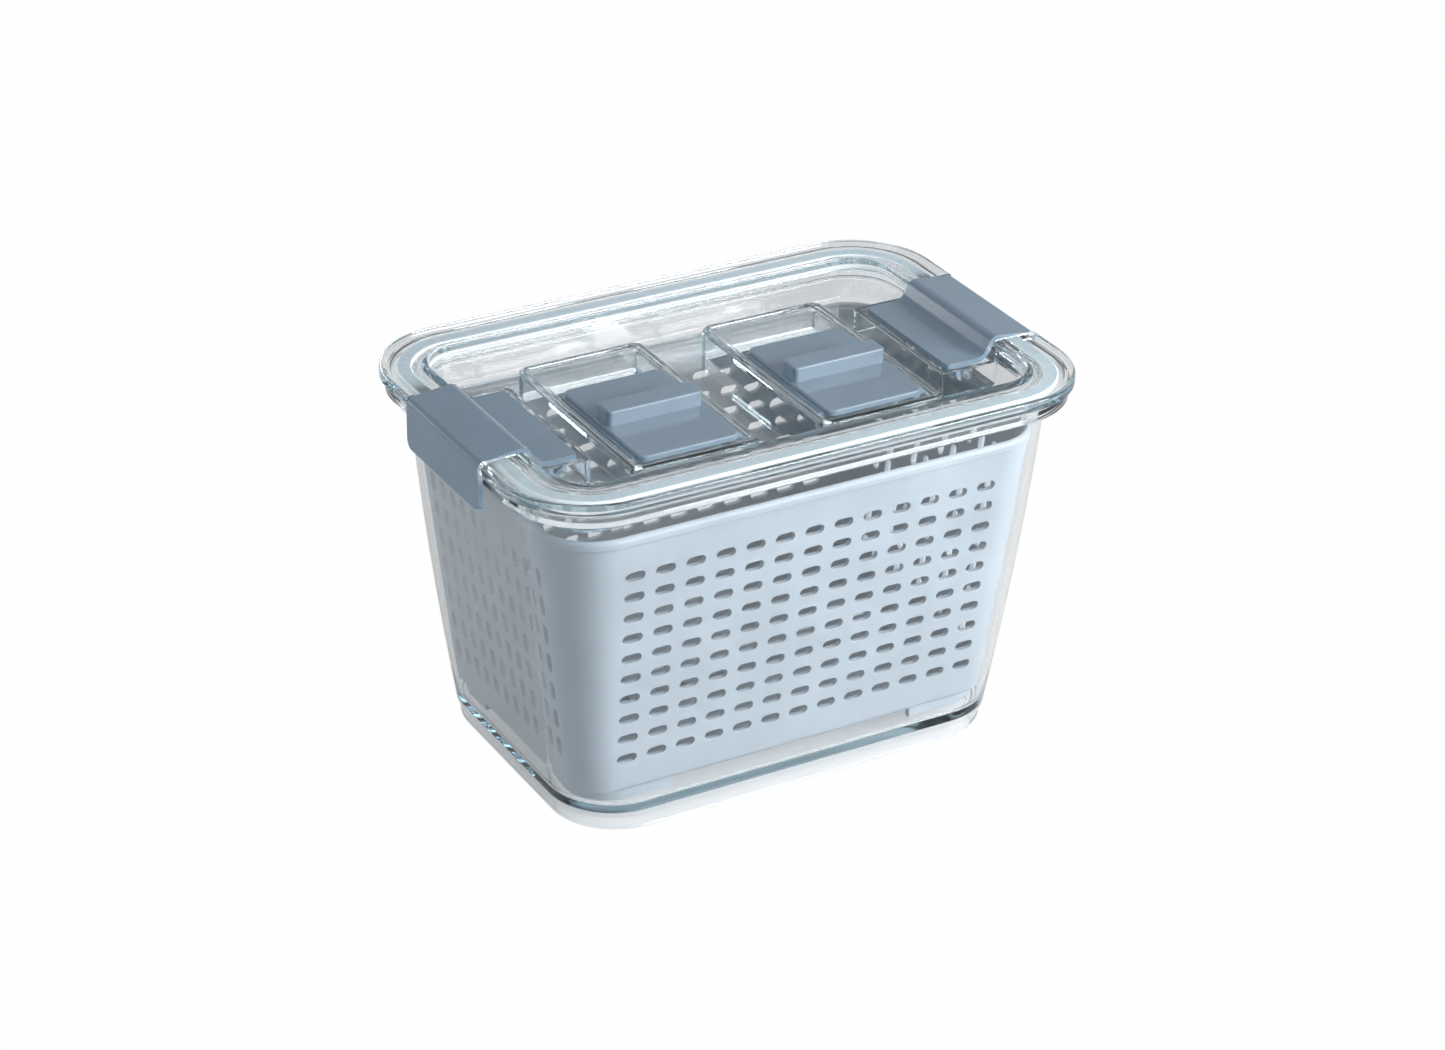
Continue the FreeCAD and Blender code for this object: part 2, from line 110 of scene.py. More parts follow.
# Vent covers
slider_gap = 0.3 * mm
slider_front_y = well_front_y + 2.1 * mm
slider_back_y = deck_back_y - 1.3 * mm
slider_low = deck_top + 1.0 * mm
slider_thickness = 2.2 * mm
slider_corner = 3.0 * mm
tongue_low = deck_top + 0.1 * mm
tongue_height = 1.0 * mm
tongue_reach = 1.1 * mm
tongue_width = 3.0 * mm
slider_side_step = 1.3 * mm
grip_half_x = 17.2 * mm
grip_corner = 1.6 * mm
grip_front_y = slider_front_y + 22.8 * mm
grip_depth = 8.7 * mm
grip_height = 5.2 * mm
grip_edge = 0.7 * mm

# Flap latches, the right-hand one
latch_half_y = 25.2 * mm
latch_sheet = 1.8 * mm
latch_plate_corner = 1.4 * mm
latch_hem_corner = 3.0 * mm
latch_edge = 0.35 * mm
latch_outer_x = lid_half_x + 0.5 * mm
latch_edge_z = lid_top - 0.6 * mm
latch_crease_x = latch_outer_x - 17.2 * mm
latch_crease_z = latch_edge_z + 2.1 * mm
latch_ramp_x = latch_crease_x - 3.5 * mm
latch_plate_z = lid_top - 5.4 * mm
latch_inner_x = latch_ramp_x - 14.0 * mm
latch_bottom_z = lid_top - 17.5 * mm
latch_draft = 0.1 * mm
latch_gap = 0.4 * mm
bead_reach = 0.3 * mm
bead_height = 1.6 * mm
bead_z = latch_bottom_z + 2.4 * mm
# How much of the skirt's draft is reached at the bead
bead_rise = 0.15
bar_radius = 1.5 * mm
bar_fit = 0.08 * mm
bar_x = latch_inner_x + 6.9 * mm
bar_z = latch_plate_z - 3.9 * mm
clip_wall = 1.6 * mm
clip_mouth = 2.3 * mm
lug_y = 8.5 * mm
lug_width = 2.4 * mm
lug_gap = 0.6 * mm
pocket_face_x = latch_inner_x - 2.1 * mm
pocket_wall = 1.6 * mm
pocket_half_y = latch_half_y + 1.8 * mm
pocket_top = panel_top + 8.7 * mm
pocket_corner = 1.0 * mm
pocket_outer_corner = 2.4 * mm
pocket_edge = 0.5 * mm
bay_reach = 3.5 * mm

# Basket
basket_wall = 1.8 * mm
basket_edge = 2.5 * mm
basket_inner_edge = 3.0 * mm
basket_rim_height = 3.4 * mm
basket_lid_gap = 1.5 * mm
basket_floor = 12.7 * mm
basket_base_half_x = 77.5 * mm
basket_base_half_y = 48.2 * mm
basket_base_corner = 10.5 * mm
basket_mouth_half_x = 89.0 * mm
basket_mouth_half_y = 56.9 * mm
basket_foot_inset = 1.2 * mm
basket_foot_width = 2.2 * mm
basket_foot_turn = 14.2 * mm
basket_foot_gap = 0.02 * mm
basket_foot_sink = 0.5 * mm
foot_gap_x = 45.0 * mm
foot_gap_y = 22.0 * mm
basket_mouth_corner = 18.0 * mm
basket_rim_corner = 20.2 * mm
slot_length = 7.0 * mm
slot_height = 3.3 * mm
slot_edge = 0.28 * mm
slot_margin = 0.35 * mm
# On each pair of walls: columns, half the span of the lowest and of the highest row, rows,
# and the heights of the lowest and the highest row
long_wall_slots = (13, (63.3 * mm, 64.6 * mm), 10, 26.1 * mm, 96.0 * mm)
long_wall_area = 9e-3
short_wall_slots = (11, (35.3 * mm, 36.3 * mm), 7, 27.8 * mm, 91.8 * mm)
short_wall_area = 4e-3
floor_slot_length = 12.0 * mm
floor_slot_pitch_x = 20.0 * mm
floor_slot_pitch_y = 14.0 * mm
floor_slot_columns = 7
floor_slot_rows = 5

# Fineness of the mesh
corner_steps = 14
sharp_angle = 50
flat_inset = 8.0 * mm
panel_inset = 6.0 * mm
same_place = 1e-6

# Finish of the coloured mouldings: how fine their cloudiness is, and how far the gloss varies
shade_noise = 45
gloss_noise = 160
gloss_spread = 0.12


class Outline:
    """A rectangle with rounded corners, seen from above."""

    def __init__(self, half_x, half_y, corner):
        self.half_x = half_x
        self.half_y = half_y
        self.corner = corner

    def grown(self, distance):
        return Outline(self.half_x + distance, self.half_y + distance, self.corner + distance)

    def blend(self, other, share):
        return Outline(
            self.half_x + (other.half_x - self.half_x) * share,
            self.half_y + (other.half_y - self.half_y) * share,
            self.corner + (other.corner - self.corner) * share,
        )


lid_outline = Outline(lid_half_x, lid_half_y, lid_corner)
recess_outline = lid_outline.grown(-recess_inset)
rim_outline = lid_outline.grown(rim_half_x - lid_half_x)
base_outline = Outline(base_half_x, base_half_y, base_corner)
shoulder_outline = base_outline.grown(foot_step)
shoulder_outline.corner = base_corner
mouth_outline = rim_outline.grown(-rim_upstand - rim_land_width)
mouth_outline.corner = base_corner
frame_outline = Outline(frame_half_x, (frame_back_y - frame_front_y) / 2, frame_corner)
frame_middle_y = (frame_front_y + frame_back_y) / 2


def wall_outline(z):
    """Outside of the container's wall, which leans out less and less as it rises."""
    rise = (z - foot_height) / (rim_land - rim_thickness - foot_height)
    return shoulder_outline.blend(mouth_outline, rise * (1 + wall_bow - wall_bow * rise))


def as_levels(section, steps=4):
    """Levels from a section of (outline, z, rounding) corners, with the corners rounded."""
    points = [Vector((o.half_x, o.half_y, o.corner, z)) for o, z, rounding in section]
    levels = []
    for index, (outline, z, rounding) in enumerate(section):
        here = points[index]
        if rounding == 0 or index in (0, len(section) - 1):
            levels.append((outline, z))
            continue
        back = points[index - 1] - here
        ahead = points[index + 1] - here
        back_flat = Vector(((back[0] + back[1]) / 2, back[3]))
        ahead_flat = Vector(((ahead[0] + ahead[1]) / 2, ahead[3]))
        half = back_flat.angle(ahead_flat) / 2
        reach = rounding / math.tan(half)
        start = here + back * (reach / back_flat.length)
        end = here + ahead * (reach / ahead_flat.length)
        for step in range(steps + 1):
            s = step / steps
            weights = ((1 - s) ** 2, 2 * s * (1 - s) * math.sin(half), s ** 2)
            point = (start * weights[0] + here * weights[1] + end * weights[2]) / sum(weights)
            levels.append((Outline(point[0], point[1], point[2]), point[3]))
    return levels


def moved_to(vert, old, new, z):
    """Carries a vertex of one outline to the same place on another."""
    side_x = 1 if vert.co.x > 0 else -1
    side_y = 1 if vert.co.y > 0 else -1
    turn_x = (abs(vert.co.x) - old.half_x + old.corner) / old.corner
    turn_y = (abs(vert.co.y) - old.half_y + old.corner) / old.corner
    vert.co.x = side_x * (new.half_x - new.corner + new.corner * turn_x)
    vert.co.y = side_y * (new.half_y - new.corner + new.corner * turn_y)
    vert.co.z = z


def verts_in(geom):
    """The vertices among what a bmesh operator made."""
    return [g for g in geom if isinstance(g, bmesh.types.BMVert)]


def flat_outline(bm, outline, z):
    """A level face with the outline's shape."""
    before = set(bm.faces)
    verts = bmesh.ops.create_grid(bm, x_segments=1, y_segments=1, size=1.0)["verts"]
    bmesh.ops.scale(bm, vec=(outline.half_x, outline.half_y, 1), verts=verts)
    bmesh.ops.translate(bm, vec=(0, 0, z), verts=verts)
    bmesh.ops.bevel(
        bm, geom=verts, offset=outline.corner, offset_type="OFFSET", affect="VERTICES",
        segments=corner_steps, profile=0.5, material=-1,
    )
    return [face for face in bm.faces if face not in before][0]


def stack(bm, levels, closed=False):
    """Walls through all the levels in turn, with a face on the first and the last, or joined
    into a closed ring."""
    outline, z = levels[0]
    first = flat_outline(bm, outline, z)
    edges = list(first.edges)
    start_edges = list(edges)
    if closed:
        bmesh.ops.delete(bm, geom=[first], context="FACES_ONLY")
    for new, new_z in levels[1:]:
        made = bmesh.ops.extrude_edge_only(bm, edges=edges)["geom"]
        verts = set(verts_in(made))
        edges = [
            g for g in made
            if isinstance(g, bmesh.types.BMEdge) and verts.issuperset(g.verts)
        ]
        for vert in verts:
            moved_to(vert, outline, new, new_z)
        outline = new
    if closed:
        bmesh.ops.bridge_loops(bm, edges=start_edges + edges)
    else:
        bmesh.ops.contextual_create(bm, geom=edges)


def finished(bm, name, body, node, material, sharp=35):
    """Turns a modelled shape into a named piece that rides on its body."""
    bmesh.ops.remove_doubles(bm, verts=bm.verts, dist=1e-7)
    bmesh.ops.recalc_face_normals(bm, faces=bm.faces)
    mesh = bpy.data.meshes.new(name)
    bm.to_mesh(mesh)
    bm.free()
    mesh.shade_smooth()
    mesh.set_sharp_from_angle(angle=math.radians(sharp))
    piece = bpy.data.objects.new(name, mesh)
    bpy.context.scene.collection.objects.link(piece)
    mesh.materials.append(material)
    if body:
        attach(piece, body)
        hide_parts(node)
    return piece


def soft(piece, radius):
    """Rounds every edge that is still sharp."""
    rounding = piece.modifiers.new("soft edges", "BEVEL")
    rounding.width = radius
    rounding.segments = 2
    rounding.limit_method = "ANGLE"
    rounding.angle_limit = math.radians(sharp_angle)
    return piece


def weighted(piece):
    """Keeps the flat faces flat beside the rounded edges."""
    normals = piece.modifiers.new("flat faces", "WEIGHTED_NORMAL")
    normals.keep_sharp = True
    normals.weight = 50
    return piece


def clear_plastic(name, tint, density, shade=None):
    """Clear moulding that lets the lamps' light through, less of it below a height, as
    (height, share), where a shade is given."""
    material = bpy.data.materials.new(name)
    material.use_nodes = True
    tree = material.node_tree
    shader = tree.nodes["Principled BSDF"]
    shader.inputs["Base Color"].default_value = (0.985, 0.99, 0.995, 1)
    shader.inputs["Roughness"].default_value = 0.02
    shader.inputs["IOR"].default_value = 1.5
    shader.inputs["Transmission Weight"].default_value = 1.0
    absorb = tree.nodes.new("ShaderNodeVolumeAbsorption")
    absorb.inputs["Color"].default_value = tint
    absorb.inputs["Density"].default_value = density
    tree.links.new(absorb.outputs["Volume"], tree.nodes["Material Output"].inputs["Volume"])
    path = tree.nodes.new("ShaderNodeLightPath")
    lets_through = tree.nodes.new("ShaderNodeBsdfTransparent")
    lets_through.inputs["Color"].default_value = (0.95, 0.965, 0.975, 1)
    if shade:
        height = tree.nodes.new("ShaderNodeSeparateXYZ")
        place = tree.nodes.new("ShaderNodeTexCoord").outputs["Object"]
        tree.links.new(place, height.inputs[0])
        step = tree.nodes.new("ShaderNodeMapRange")
        step.inputs["From Min"].default_value = shade[0] - 0.5 * mm
        step.inputs["From Max"].default_value = shade[0] + 0.5 * mm
        step.inputs["To Min"].default_value = shade[1]
        step.inputs["To Max"].default_value = 0.96
        tree.links.new(height.outputs["Z"], step.inputs["Value"])
        tree.links.new(step.outputs[0], lets_through.inputs["Color"])
    mix = tree.nodes.new("ShaderNodeMixShader")
    tree.links.new(path.outputs["Is Shadow Ray"], mix.inputs["Fac"])
    tree.links.new(shader.outputs[0], mix.inputs[1])
    tree.links.new(lets_through.outputs[0], mix.inputs[2])
    tree.links.new(mix.outputs[0], tree.nodes["Material Output"].inputs["Surface"])
    return material


def coloured_plastic(name, colour, roughness, cloud=0.04):
    """A moulded colour with a faint cloudiness in its shade and its gloss."""
    material = bpy.data.materials.new(name)
    material.use_nodes = True
    tree = material.node_tree
    shader = tree.nodes["Principled BSDF"]
    place = tree.nodes.new("ShaderNodeTexCoord").outputs["Object"]
    for scale, socket, middle, spread in (
        (shade_noise, "Base Color", colour[:3], cloud),
        (gloss_noise, "Roughness", [roughness] * 3, gloss_spread),
    ):
        noise = tree.nodes.new("ShaderNodeTexNoise")
        noise.inputs["Scale"].default_value = scale
        noise.inputs["Detail"].default_value = 3
        tree.links.new(place, noise.inputs["Vector"])
        ramp = tree.nodes.new("ShaderNodeValToRGB")
        darker, lighter = ramp.color_ramp.elements
        darker.position = 0.35
        darker.color = (*[channel * (1 - spread) for channel in middle], 1)
        lighter.position = 0.65
        lighter.color = (*[channel * (1 + spread) for channel in middle], 1)
        tree.links.new(noise.outputs["Fac"], ramp.inputs["Fac"])
        tree.links.new(ramp.outputs["Color"], shader.inputs[socket])
    return material


body_clear = clear_plastic("clear body", (0.70, 0.80, 0.84, 1), 30)
lid_clear = clear_plastic("clear lid", (0.70, 0.80, 0.84, 1), 30, (panel_top + 2 * mm, 0.45))
basket_plastic = coloured_plastic("basket plastic", (0.365, 0.42, 0.465, 1), 0.42)
seal_rubber = coloured_plastic("seal rubber", (0.88, 0.955, 0.99, 1), 0.4, 0.01)
latch_plastic = coloured_plastic("latch plastic", (0.225, 0.31, 0.395, 1), 0.18)
slider_plastic = coloured_plastic("vent cover plastic", (0.245, 0.33, 0.415, 1), 0.12)


def make_container():
    bm = bmesh.new()
    inside = base_outline.grown(-foot_ring)
    rim_under = rim_land - rim_thickness
    section = [
        (inside, foot_height, 0),
        (inside, 0, 0.5 * mm),
        (base_outline, 0, 1.5 * mm),
        (base_outline, foot_height - foot_step, 0.2 * mm),
        (shoulder_outline, foot_height - foot_step / 3, 0.6 * mm),
    ]
    rise = rim_under - foot_height
    heights = [foot_height + rise * n / wall_bands for n in range(1, wall_bands)]
    section += [(wall_outline(z), z, 0) for z in heights]
    section += [
        (wall_outline(rim_under), rim_under, 0.8 * mm),
        (rim_outline, rim_under, 0.5 * mm),
        (rim_outline, rim_top, rim_edge),
        (rim_outline.grown(-rim_upstand), rim_top, rim_edge),
        (rim_outline.grown(-rim_upstand), rim_land, 0.3 * mm),
        (wall_outline(rim_land).grown(-wall), rim_land, 0.8 * mm),
    ]
    section += [(wall_outline(z).grown(-wall), z, 0) for z in reversed(heights)]
    floor_outline = wall_outline(floor_top).grown(-wall)
    section.append((floor_outline, floor_top, floor_rounding))
    section.append((floor_outline.grown(-flat_inset), floor_top, 0))
    stack(bm, as_levels(section))
    return weighted(finished(bm, "clear_box", "box", "container", body_clear))


def make_seal():
    bm = bmesh.new()
    outer = Outline(seal_high.x, seal_high.y, lid_corner - (lid_half_x - seal_high.x))
    inner = outer.grown(-seal_width)
    middle = (seal_low.z + seal_high.z) / 2
    section = [
        (outer, middle, 0),
        (outer, seal_high.z, seal_edge),
        (inner, seal_high.z, seal_edge),
        (inner, seal_low.z, seal_edge),
        (outer, seal_low.z, seal_edge),
        (outer, middle - 0.2 * mm, 0),
    ]
    stack(bm, as_levels(section), closed=True)
    return weighted(finished(bm, "seal_ring", "box", "lid_seal", seal_rubber))


# The basket's walls lean out from its floor to its mouth
basket_low_outline = Outline(basket_base_half_x, basket_base_half_y, basket_base_corner)
basket_high_outline = Outline(basket_mouth_half_x, basket_mouth_half_y, basket_mouth_corner)
basket_top = basket_high.z - basket_lid_gap
basket_rim = basket_top - basket_rim_height


def basket_outline(z):
    share = (z - basket_floor) / (basket_rim - basket_floor)
    return basket_low_outline.blend(basket_high_outline, share)


def wall_faces(bm, axis, least_area):
    """The big flat faces of the walls that face along an axis."""
    found = []
    for face in bm.faces:
        if abs(face.normal[axis]) > 0.9 and face.calc_area() > least_area:
            found.append(face)
    return found


def cut_slots(bm, face, along, columns, spans, rows, low, high, length, height):
    """Replaces a leaning wall face by a grid with a round-ended slot left open in each cell.
    The slot's long way runs along the wall, or upwards where its height is the longer.
    Spans are the places of the last column on the lowest and on the highest row."""
    normal = face.normal.copy()
    point = face.calc_center_median()
    across = 1 - along

    def settle(vert, place, z):
        """Puts a vertex at a place along the wall and a height, on the wall's own plane."""
        lean = (place - point[along]) * normal[along] + (z - point.z) * normal.z
        vert.co[along] = place
        vert.co[across] = point[across] - lean / normal[across]
        vert.co.z = z

    def column_place(step, z):
        """Where a column stands at a height; steps count from the middle of the wall."""
        share = (z - low) / (high - low)
        return (spans[0] + (spans[1] - spans[0]) * share) * step / ((columns - 1) / 2)

    pitch_up = (high - low) / (rows - 1)
    last = (columns - 1) / 2 + (length / 2 + slot_margin) / (spans[0] / ((columns - 1) / 2))
    outside = set(bm.faces) - {face}
    bmesh.ops.inset_region(bm, faces=[face], thickness=2 * mm)
    for vert in list(face.verts):
        z = high + pitch_up / 2 if vert.co.z > point.z else low - pitch_up / 2
        settle(vert, column_place(math.copysign(last, vert.co[along]), z), z)
    strips = set(bm.faces) - outside - {face}
    level = [e for e in face.edges if abs(e.verts[0].co.z - e.verts[1].co.z) < mm]
    bmesh.ops.subdivide_edges(bm, edges=level, cuts=columns - 1)
    cells = [f for f in bm.faces if f not in outside and f not in strips]
    upright = {e for f in cells for e in f.edges if abs(e.verts[0].co.z - e.verts[1].co.z) > mm}
    bmesh.ops.subdivide_edges(bm, edges=list(upright), cuts=rows - 1, use_grid_fill=True)
    cells = [f for f in bm.faces if f not in outside and f not in strips]
    for vert in {v for f in cells for v in f.verts}:
        step = vert.co[along] / column_place(last, vert.co.z) * columns / 2
        step = round(step - 0.5) + 0.5
        if abs(step) < (columns - 1) / 2:
            settle(vert, column_place(step, vert.co.z), vert.co.z)
    bmesh.ops.inset_individual(bm, faces=cells, thickness=0.5 * mm)
    lengthways = along if length > height else 2
    crossways = 2 if length > height else along
    long_half = max(length, height) / 2
    end = min(length, height) / 2
    centres_of = {}
    centres = {}
    ends = []
    for cell in cells:
        centre = cell.calc_center_median()
        row = round((centre.z - low) / pitch_up)
        centre.z = low + row * pitch_up
        step = round(centre[along] / column_place(1, centre.z))
        centre[along] = column_place(step, centre.z)
        centres_of[cell] = centre
        for vert in cell.verts:
            offset = vert.co - centre
            reach = {
                lengthways: math.copysign(long_half - end, offset[lengthways]),
                crossways: math.copysign(end, offset[crossways]),
            }
            settle(vert, centre[along] + reach[along], centre.z + reach[2])
        for edge in cell.edges:
            run = edge.verts[1].co - edge.verts[0].co
            if abs(run[crossways]) > end:
                ends.append(edge)
                centres[edge] = centre
    for edge in ends:
        centre = centres[edge]
        side = math.copysign(1, (edge.verts[0].co - centre)[lengthways])
        made = bmesh.ops.subdivide_edges(bm, edges=[edge], cuts=4)["geom_inner"]
        for vert in verts_in(made):
            share = (vert.co[crossways] - centre[crossways]) / (2 * end)
            turn = math.pi * share
            reach = {
                lengthways: side * (long_half - end + end * math.cos(turn)),
                crossways: end * math.sin(turn),
            }
            settle(vert, centre[along] + reach[along], centre.z + reach[2])
    slots = [(round(centres_of[cell].z, 5), centres_of[cell][along], cell) for cell in cells]
    slots.sort(key=lambda slot: slot[:2])
    loops = [list(cell.edges) for z, place, cell in slots]
    bmesh.ops.delete(bm, geom=cells, context="FACES_ONLY")
    return loops


def join_slots(bm, outer, inner):
    """Walls between the slots of the outer face and the same slots of the inner face."""
    for edges, inner_edges in zip(outer, inner):
        bmesh.ops.bridge_loops(bm, edges=edges + inner_edges)


def basket_feet():
    """Corner feet that hold the basket's floor off the box's floor."""
    outer = basket_low_outline.grown(-basket_foot_inset)
    outer.corner = basket_foot_turn
    inner = outer.grown(-basket_foot_width)
    middle = (floor_top + basket_floor) / 2
    section = [
        (outer, middle, 0),
        (outer, basket_floor + basket_foot_sink, 0),
        (inner, basket_floor + basket_foot_sink, 0),
        (inner, floor_top + basket_foot_gap, 0.5 * mm),
        (outer, floor_top + basket_foot_gap, 0.5 * mm),
        (outer, middle - 0.2 * mm, 0),
    ]
    ring = bmesh.new()
    stack(ring, as_levels(section), closed=True)
    gaps = []
    for reach_x, reach_y in ((foot_gap_x, base_half_y), (base_half_x, foot_gap_y)):
        gap = bmesh.new()
        block(gap, (-reach_x, -reach_y, floor_top - mm), (reach_x, reach_y, basket_floor))
        gaps.append(("DIFFERENCE", gap))
    return carved(ring, gaps)


def floor_slots():
    """Rows of round-ended drain slots in the basket's floor."""
    bm = bmesh.new()
    one_slot = Outline(floor_slot_length / 2, slot_height / 2, slot_height / 2 - 0.01 * mm)
    stack(bm, [(one_slot, basket_floor - mm), (one_slot, basket_floor + basket_wall + mm)])
    first = bm.verts[:] + bm.edges[:] + bm.faces[:]
    for column in range(floor_slot_columns):
        for row in range(floor_slot_rows):
            made = bmesh.ops.duplicate(bm, geom=first)["geom"]
            place = (
                (column - floor_slot_columns // 2) * floor_slot_pitch_x,
                (row - floor_slot_rows // 2) * floor_slot_pitch_y,
                0,
            )
            bmesh.ops.translate(bm, vec=place, verts=verts_in(made))
    bmesh.ops.delete(bm, geom=verts_in(first), context="VERTS")
    return bm


def make_basket():
    bm = bmesh.new()
    mouth = Outline(basket_high.x, basket_high.y, basket_rim_corner)
    inner_mouth = basket_outline(basket_top).grown(-basket_wall)
    inner_floor = basket_floor + basket_wall
    inner_base = basket_outline(inner_floor).grown(-basket_wall)
    section = [
        (basket_low_outline.grown(-flat_inset), basket_floor, 0),
        (basket_low_outline, basket_floor, basket_edge),
        (basket_outline(basket_rim), basket_rim, 0.4 * mm),
        (mouth, basket_rim, 0.5 * mm),
        (mouth, basket_top, 1.6 * mm),
        (inner_mouth, basket_top, 1.2 * mm),
        (inner_base, inner_floor, basket_inner_edge),
        (inner_base.grown(-flat_inset), inner_floor, 0),
    ]
    stack(bm, as_levels(section))
    bm = carved(bm, [("UNION", basket_feet()), ("DIFFERENCE", floor_slots())])
    bmesh.ops.recalc_face_normals(bm, faces=bm.faces)
    for along, area, layout, size in (
        (0, long_wall_area, long_wall_slots, (slot_length, slot_height)),
        (1, short_wall_area, short_wall_slots, (slot_height, slot_length)),
    ):
        grids = []
        for face in wall_faces(bm, 1 - along, area):
            side = face.calc_center_median()[1 - along]
            loops = cut_slots(bm, face, along, *layout, *size)
            grids.append((side > 0, loops))
        for far in (False, True):
            pair = [loops for side, loops in grids if side == far]
            join_slots(bm, *pair)
    piece = finished(
        bm, "slotted_basket", "box", "basket", basket_plastic, sharp_angle,
    )
    return weighted(soft(piece, slot_edge))


def block(bm, low, high):
    """A plain box between two corners."""
    verts = bmesh.ops.create_cube(bm, size=1.0)["verts"]
    bmesh.ops.scale(bm, vec=[b - a for a, b in zip(low, high)], verts=verts)
    bmesh.ops.translate(bm, vec=[(a + b) / 2 for a, b in zip(low, high)], verts=verts)
    return verts


def drawn_out(bm, corners, low_y, high_y, steps=6):
    """A profile of (x, z, rounding) corners in the XZ plane, drawn out along Y."""
    verts = [bm.verts.new((x, low_y, z)) for x, z, rounding in corners]
    reaches = []
    for index, (x, z, rounding) in enumerate(corners):
        back = verts[index - 1].co - verts[index].co
        ahead = verts[(index + 1) % len(verts)].co - verts[index].co
        reaches.append(rounding / math.tan(back.angle(ahead) / 2))
    before = set(bm.faces)
    bm.faces.new(verts)
    for vert, reach in zip(verts, reaches):
        if reach > 0:
            bmesh.ops.bevel(
                bm, geom=[vert], offset=reach, offset_type="OFFSET", affect="VERTICES",
                segments=steps, profile=0.5, material=-1,
            )
    face = [f for f in bm.faces if f not in before][0]
    made = bmesh.ops.extrude_face_region(bm, geom=[face])["geom"]
    bmesh.ops.translate(bm, vec=(0, high_y - low_y, 0), verts=verts_in(made))


def rod(bm, x, z, low_y, high_y, radius, segments=28):
    """A round bar along Y."""
    lying = Matrix.Rotation(math.pi / 2, 4, "X")
    bmesh.ops.create_cone(
        bm, cap_ends=True, segments=segments, radius1=radius, radius2=radius,
        depth=high_y - low_y, matrix=Matrix.Translation((x, (low_y + high_y) / 2, z)) @ lying,
    )


def soft_edges(bm, edges, radius, segments=3):
    bmesh.ops.bevel(
        bm, geom=edges, offset=radius, offset_type="OFFSET", affect="EDGES",
        segments=segments, profile=0.5, material=-1,
    )


def both_sides(bm):
    """Adds the mirror image on the other side of the lid's middle."""
    copied = bmesh.ops.duplicate(bm, geom=bm.verts[:] + bm.edges[:] + bm.faces[:])["geom"]
    faces = [g for g in copied if isinstance(g, bmesh.types.BMFace)]
    bmesh.ops.scale(bm, vec=(-1, 1, 1), verts=verts_in(copied))
    bmesh.ops.reverse_faces(bm, faces=faces)


def loose_object(bm, name):
    bmesh.ops.recalc_face_normals(bm, faces=bm.faces)
    mesh = bpy.data.meshes.new(name)
    bm.to_mesh(mesh)
    bm.free()
    tool = bpy.data.objects.new(name, mesh)
    bpy.context.scene.collection.objects.link(tool)
    return tool


def carved(base, steps):
    """Adds to or cuts from a shape in turn, and returns the result as a bmesh."""
    piece = loose_object(base, "carving")
    tools = []
    for kind, shape in steps:
        tool = loose_object(shape, "tool")
        tools.append(tool)
        cut = piece.modifiers.new(kind, "BOOLEAN")
        cut.operation = kind
        cut.object = tool
        cut.solver = "EXACT"
    result = piece.evaluated_get(bpy.context.evaluated_depsgraph_get())
    bm = bmesh.new()
    bm.from_mesh(result.to_mesh())
    result.to_mesh_clear()
    for used in tools + [piece]:
        mesh = used.data
        bpy.data.objects.remove(used)
        bpy.data.meshes.remove(mesh)
    return bm


def latch_line():
    """Corners of a latch's upper side, from its inner end to the skirt's hem."""
    return [
        (latch_inner_x, latch_plate_z),
        (latch_ramp_x, latch_plate_z),
        (latch_crease_x, latch_crease_z),
        (latch_outer_x, latch_edge_z),
        (latch_outer_x - latch_draft, latch_bottom_z),
    ]


def line_below(line, distance):
    """The bends of that line, moved over to its underside."""
    moved = []
    for before, corner, after in zip(line, line[1:], line[2:]):
        here = Vector(corner)
        arriving = (here - Vector(before)).normalized()
        leaving = (Vector(after) - here).normalized()
        first = Vector((arriving.y, -arriving.x))
        second = Vector((leaving.y, -leaving.x))
        moved.append(here + (first + second) * (distance / (1 + first.dot(second))))
    return moved


def lid_shell():
    bm = bmesh.new()
    floor_outline = recess_outline.grown(-recess_draft)
    rib_outer = wall_outline(rim_land - rim_thickness).grown(-wall - rib_gap)
    rib_inner = rib_outer.grown(-rib_thickness)
    section = [
        (floor_outline.grown(-panel_inset), panel_top, 0),
        (floor_outline, panel_top, 2.0 * mm),
        (recess_outline, lid_top, 1.0 * mm),
        (lid_outline, lid_top, 1.3 * mm),
        (lid_outline, lid_under, 0.6 * mm),
        (rib_outer, lid_under, rib_edge),
        (rib_outer, lid_under - rib_depth, rib_edge),
        (rib_inner, lid_under - rib_depth, rib_edge),
        (rib_inner, lid_under, rib_edge),
        (recess_outline.grown(recess_wall), lid_under, 0.8 * mm),
        (floor_outline.grown(recess_wall), panel_under, 2.5 * mm),
        (floor_outline.grown(-panel_inset), panel_under, 0),
    ]
    stack(bm, as_levels(section))
    return bm


def frames():
    bm = bmesh.new()
    section = [
        (frame_outline, panel_top - panel_thickness / 2, 0),
        (frame_outline, frame_top, frame_edge),
        (frame_outline.grown(-frame_wall / 2), frame_top, 0),
    ]
    stack(bm, as_levels(section))
    bmesh.ops.translate(bm, vec=(frame_centre_x, frame_middle_y, 0), verts=bm.verts)
    both_sides(bm)
    return bm


def wells():
    """What is open above each deck, with a soft upper edge."""
    bm = bmesh.new()
    well = frame_outline.grown(-frame_wall)
    section = [
        (well, deck_top, 0),
        (well, frame_top, well_edge),
        (well.grown(4 * mm), frame_top + 0.02 * mm, 0),
        (well.grown(4 * mm), frame_top + 2 * mm, 0),
    ]
    stack(bm, as_levels(section))
    bmesh.ops.translate(bm, vec=(frame_centre_x, frame_middle_y, 0), verts=bm.verts)
    both_sides(bm)
    return bm


